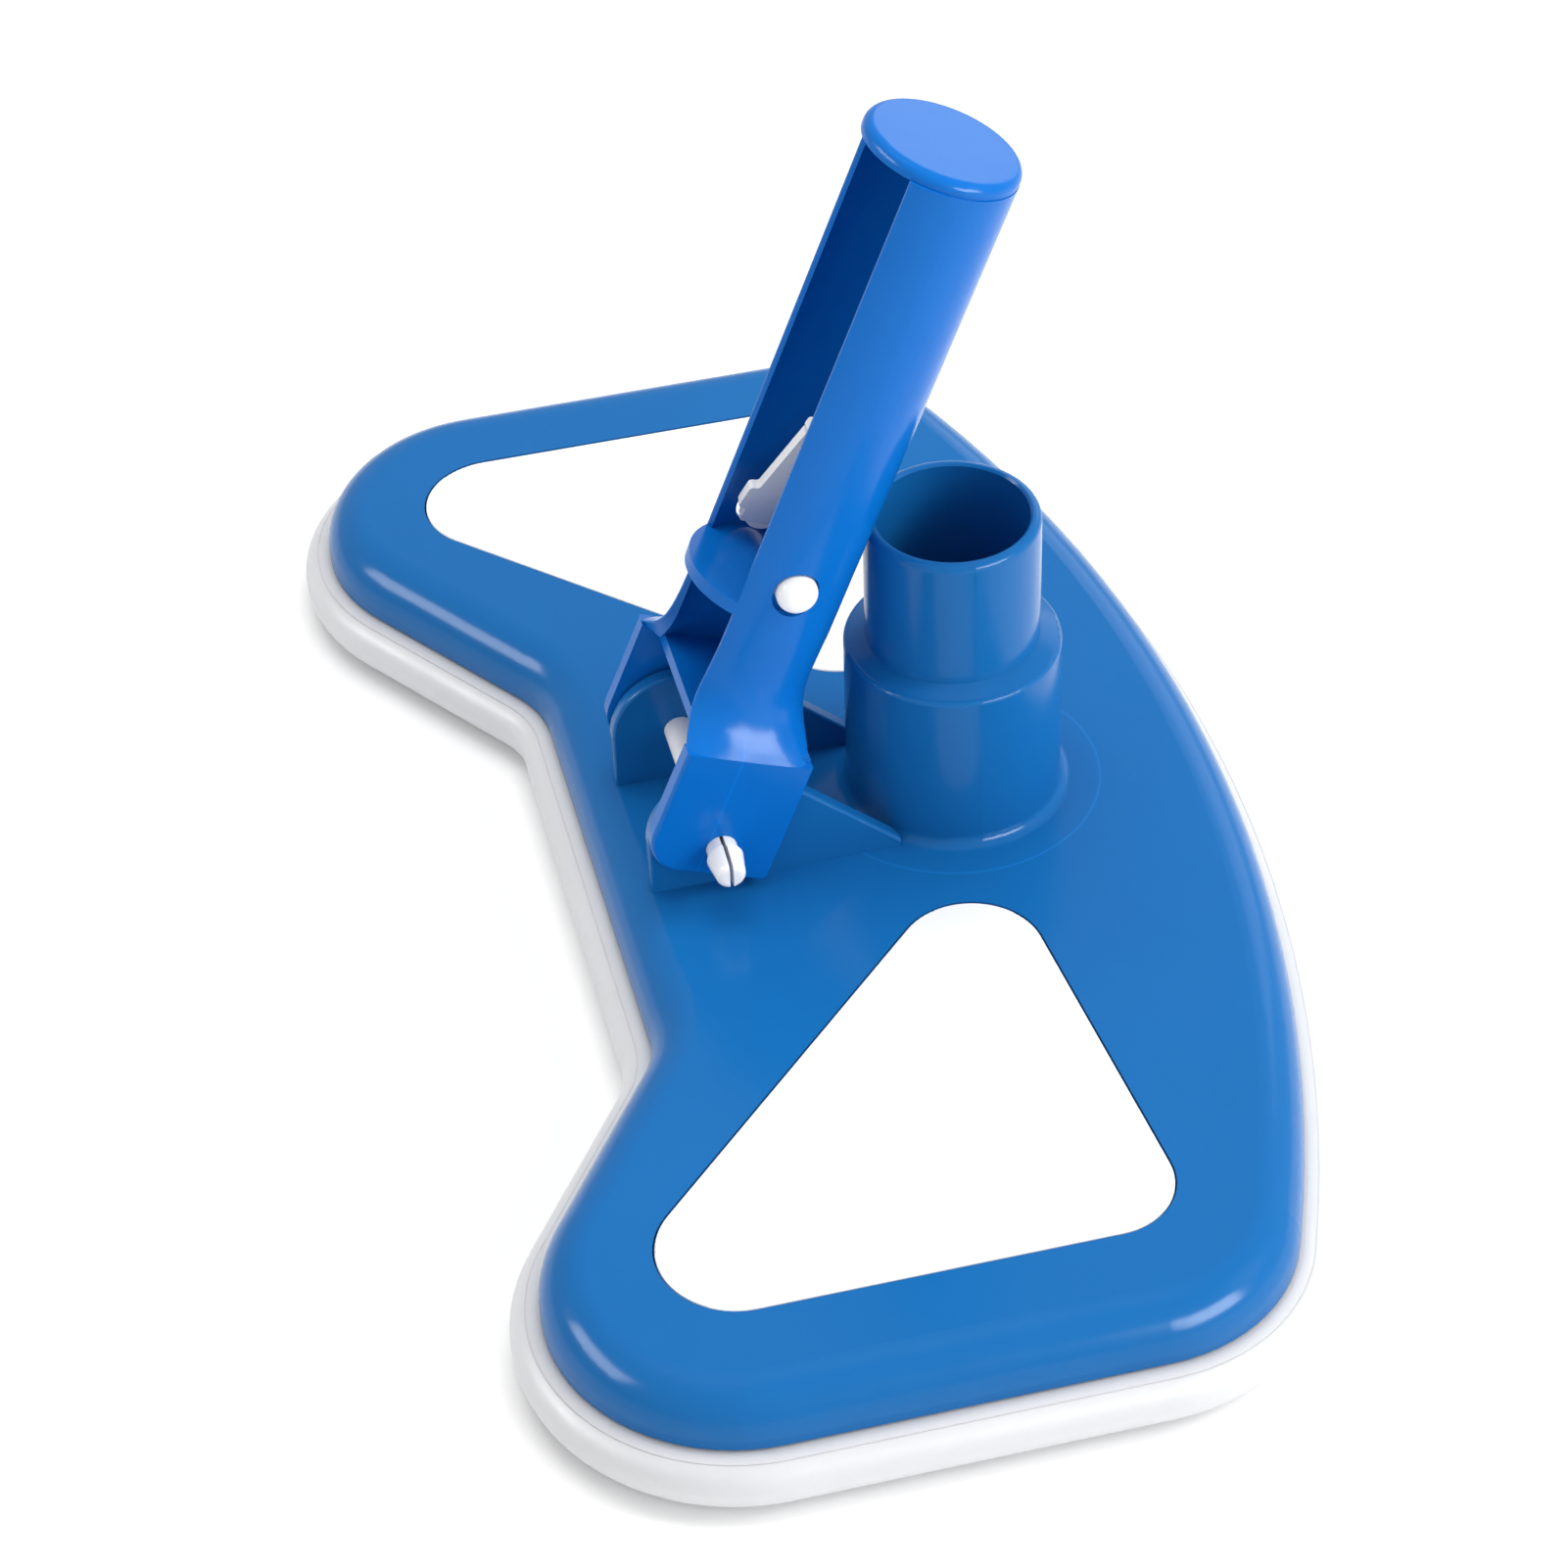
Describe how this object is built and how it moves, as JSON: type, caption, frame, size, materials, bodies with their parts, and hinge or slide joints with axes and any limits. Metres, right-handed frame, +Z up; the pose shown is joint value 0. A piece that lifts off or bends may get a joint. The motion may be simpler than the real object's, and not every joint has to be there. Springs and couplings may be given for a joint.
{
  "type": "manual pool vacuum head",
  "caption": "Weighted butterfly-shaped pool vacuum head with a hose cuff, a soft bumper, bristle rows underneath and a pole handle that tips on a snap pin.",
  "frame": {"origin": "on the pool floor, under the middle of the bumper's outline, in the plane of symmetry", "axes": "+X along the wings to the right, +Y towards the convex front, +Z up out of the hose cuff"},
  "size_m": [0.2814, 0.1571, 0.1608],
  "materials": {
    "shell_blue": "gloss",
    "handle_blue": "gloss",
    "white_plastic": "satin",
    "bumper_vinyl": "satin, soft",
    "ballast_iron": "rough",
    "screw_steel": "satin",
    "bristle_nylon": "matt"
  },
  "bodies": {
    "head": {"ballast_left": "ballast_iron", "ballast_right": "ballast_iron", "base_plate": "white_plastic", "base_screws": "screw_steel", "brush_front_left": "bristle_nylon", "brush_front_right": "bristle_nylon", "brush_inner_left": "bristle_nylon", "brush_inner_right": "bristle_nylon", "brush_notch": "bristle_nylon", "brush_side_left": "bristle_nylon", "brush_side_right": "bristle_nylon", "brush_wing_left": "bristle_nylon", "brush_wing_right": "bristle_nylon", "bumper": "bumper_vinyl", "pivot_pin": "white_plastic", "top_shell": "shell_blue", "weight_cover_left": "white_plastic", "weight_cover_right": "white_plastic"},
    "handle": {"clip_bridge": "white_plastic", "handle": "handle_blue"},
    "clip_arm_left": {"clip_arm_left": "white_plastic"},
    "clip_arm_right": {"clip_arm_right": "white_plastic"}
  },
  "joints": [
    {"name": "handle_pivot", "type": "hinge", "parent": "head", "child": "handle", "pos_m": [0, -0.02334, 0.0323], "axis": [1, 0, 0], "range_deg": [0, 66]},
    {"name": "button_right", "type": "hinge", "parent": "handle", "child": "clip_arm_right", "pos_m": [0.00185, 0.00134, 0.10211], "axis": [0, 0.9304, -0.3665], "range_deg": [0, 5.5], "stiffness_Nm_per_rad": 3, "springref_deg": -1.72},
    {"name": "button_left", "type": "hinge", "parent": "handle", "child": "clip_arm_left", "pos_m": [-0.00185, 0.00134, 0.10211], "axis": [0, -0.9304, 0.3665], "range_deg": [0, 5.5], "stiffness_Nm_per_rad": 3, "springref_deg": -1.72}
  ]
}
